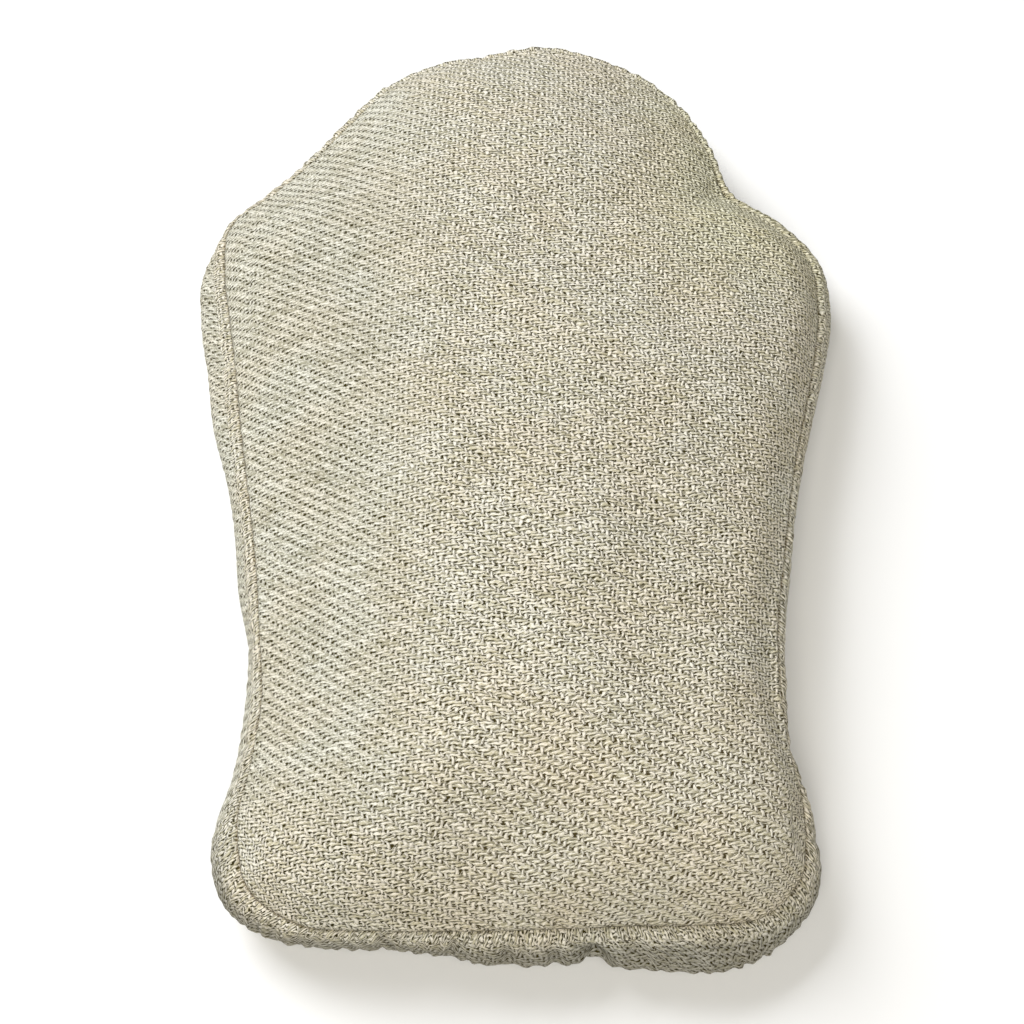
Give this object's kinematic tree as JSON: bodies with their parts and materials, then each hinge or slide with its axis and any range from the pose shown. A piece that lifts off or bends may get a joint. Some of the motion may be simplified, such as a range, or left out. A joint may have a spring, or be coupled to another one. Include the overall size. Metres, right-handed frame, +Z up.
{
  "type": "tombstone-shaped throw pillow",
  "caption": "Arched-top throw pillow with rounded shoulders and drawn-in sides, two panels of undyed coarse twill sewn edge to edge over a loose fibre filling",
  "frame": {"origin": "centre of the bounding box in plan, at the surface that the pillow rests on", "axes": "+Y toward the top of the arch (the longest extent), +Z up through the crown of the front panel (the shortest extent), +X to the right seen from the front"},
  "size_m": [0.3088, 0.469, 0.082],
  "materials": {
    "cloth": "matte undyed coarse 2/1 twill"
  },
  "bodies": {
    "root": {"pillow": "cloth"}
  },
  "joints": []
}
